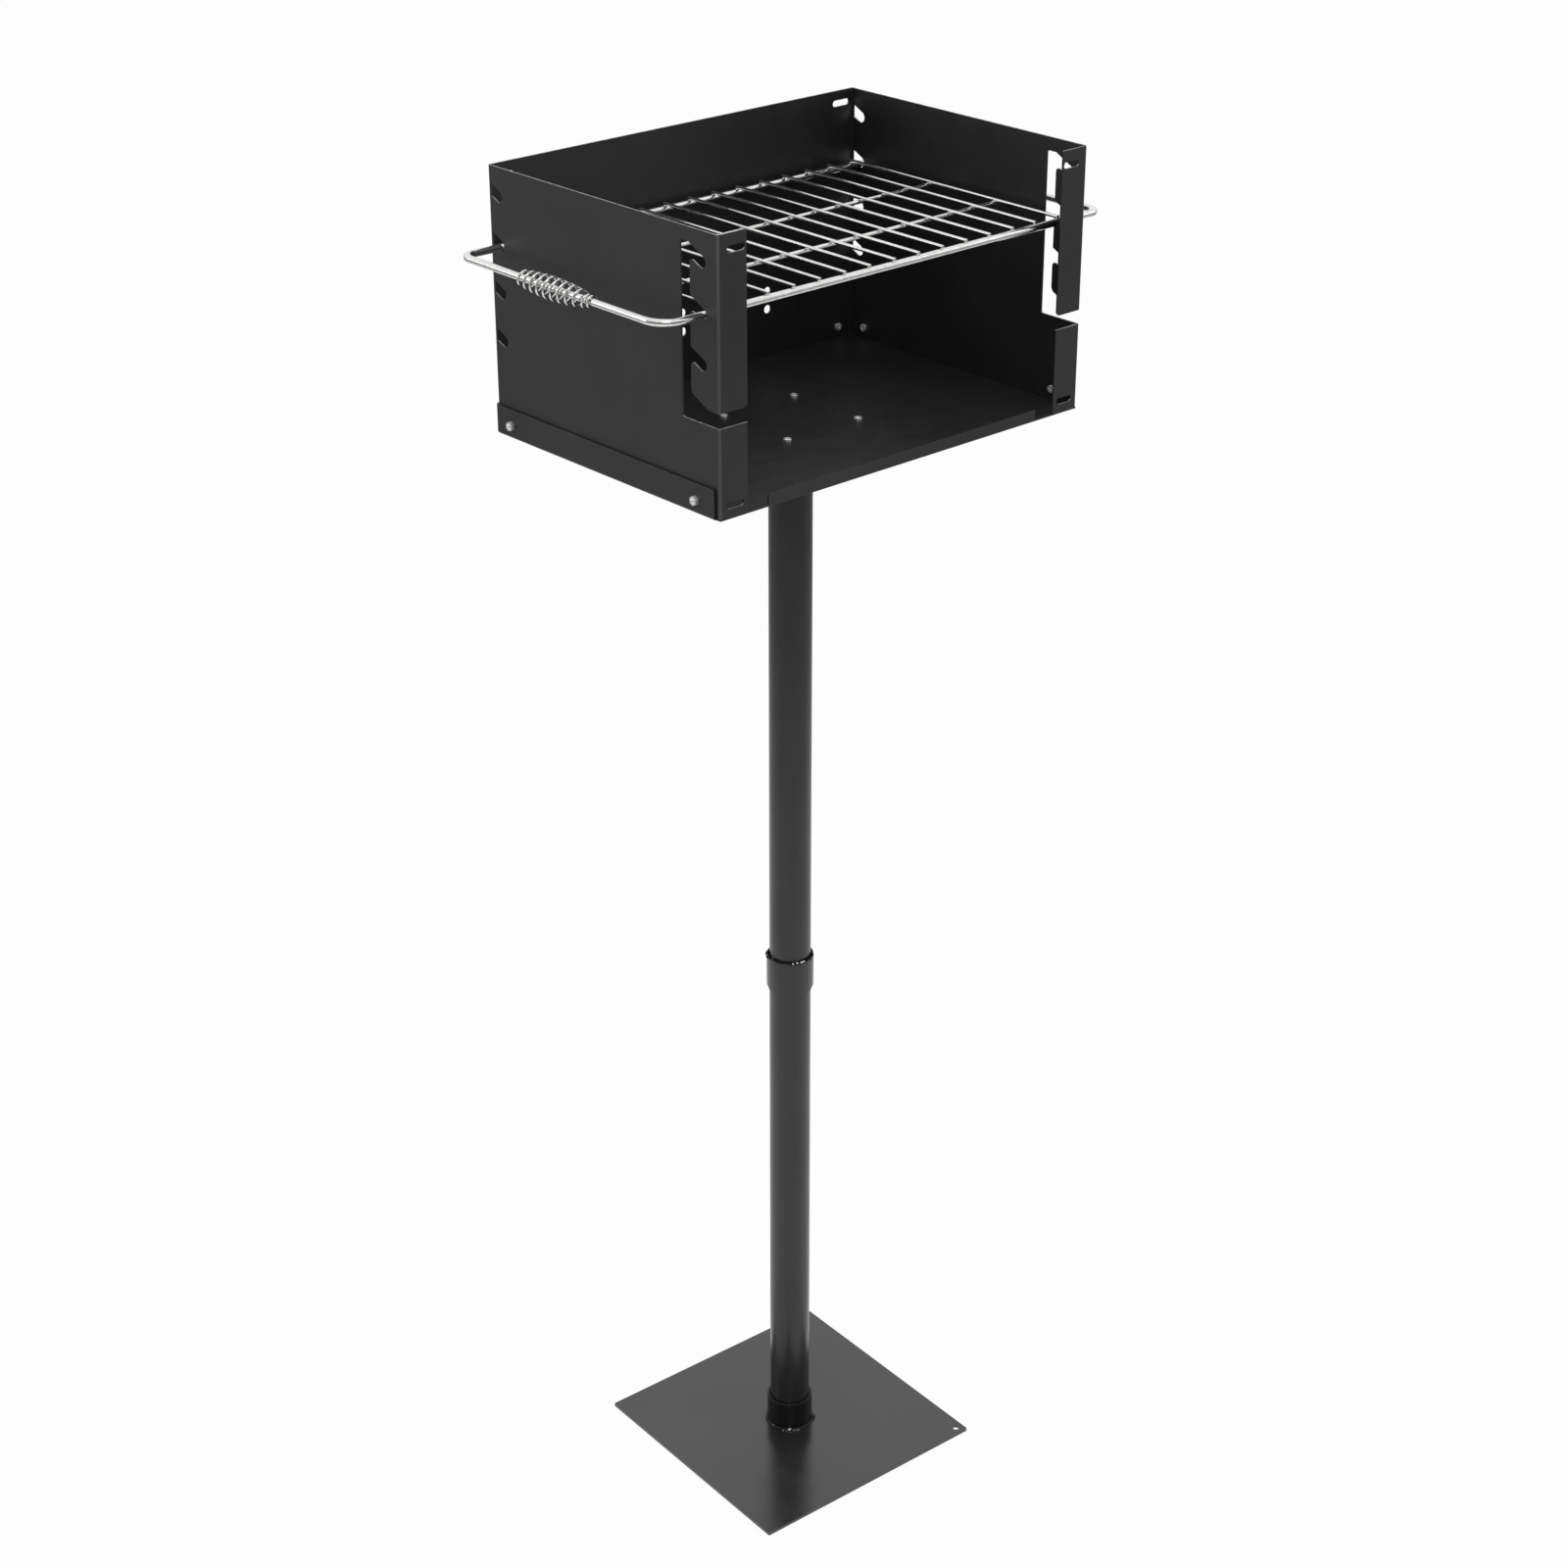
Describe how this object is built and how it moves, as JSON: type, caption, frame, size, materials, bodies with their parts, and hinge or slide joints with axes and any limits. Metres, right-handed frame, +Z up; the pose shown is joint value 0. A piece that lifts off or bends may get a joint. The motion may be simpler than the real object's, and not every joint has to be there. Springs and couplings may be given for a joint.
{
  "type": "pedestal park grill",
  "caption": "Park charcoal grill: open-fronted steel firebox with hooked side slots and a bright rod grate with coil grips, on a sectional tube post with a square base plate.",
  "frame": {"origin": "where the post's axis meets the ground, on the base plate's underside", "axes": "+Z up along the post; +X to the right along the firebox's open front; the open front faces -Y"},
  "size_m": [0.497, 0.2865, 1.2695],
  "materials": {
    "base_coating": "satin black powder coat",
    "post_coating": "satin black powder coat",
    "firebox_coating": "satin black heat-resistant powder coat, bare at cut edges",
    "weld": "weld bead under the black coat",
    "zinc_plated": "bright zinc plate",
    "bright_rod": "bright nickel-chrome plated round rod",
    "coil_wire": "bright plated spring wire"
  },
  "bodies": {
    "base": {"base_plate": "base_coating", "base_socket": "base_coating", "base_weld_bead": "weld"},
    "lower_post": {"lower_post_tube": "post_coating"},
    "head": {"upper_post_tube": "post_coating", "top_weld_bead": "weld", "post_top_plate": "post_coating", "fire_pan": "firebox_coating", "wind_shield": "firebox_coating", "post_bolts": "zinc_plated", "post_nuts": "zinc_plated", "rim_bolts": "zinc_plated", "rim_nuts": "zinc_plated"},
    "grate": {"grate_frame": "bright_rod", "grate_rod_01": "bright_rod", "grate_rod_02": "bright_rod", "grate_rod_03": "bright_rod", "grate_rod_04": "bright_rod", "grate_rod_05": "bright_rod", "grate_rod_06": "bright_rod", "grate_rod_07": "bright_rod", "grate_rod_08": "bright_rod", "grate_rod_09": "bright_rod", "grate_rod_10": "bright_rod", "grate_rod_11": "bright_rod", "grate_rod_12": "bright_rod", "grate_rod_13": "bright_rod", "grate_rod_14": "bright_rod", "grate_rod_15": "bright_rod", "front_support_rod": "bright_rod", "rear_support_rod": "bright_rod", "left_coil_grip": "coil_wire", "right_coil_grip": "coil_wire"}
  },
  "joints": [
    {"name": "post_lift", "type": "slide", "parent": "base", "child": "lower_post", "axis": [0, 0, 1], "range_m": [0, 0.03]},
    {"name": "head_swivel", "type": "hinge", "parent": "lower_post", "child": "head", "pos_m": [0, 0, 0.516], "axis": [0, 0, 1], "continuous": true},
    {"name": "grate_unhook", "type": "slide", "parent": "head", "child": "grate", "axis": [0, 0.8988, 0.4384], "range_m": [0, 0.006]}
  ]
}
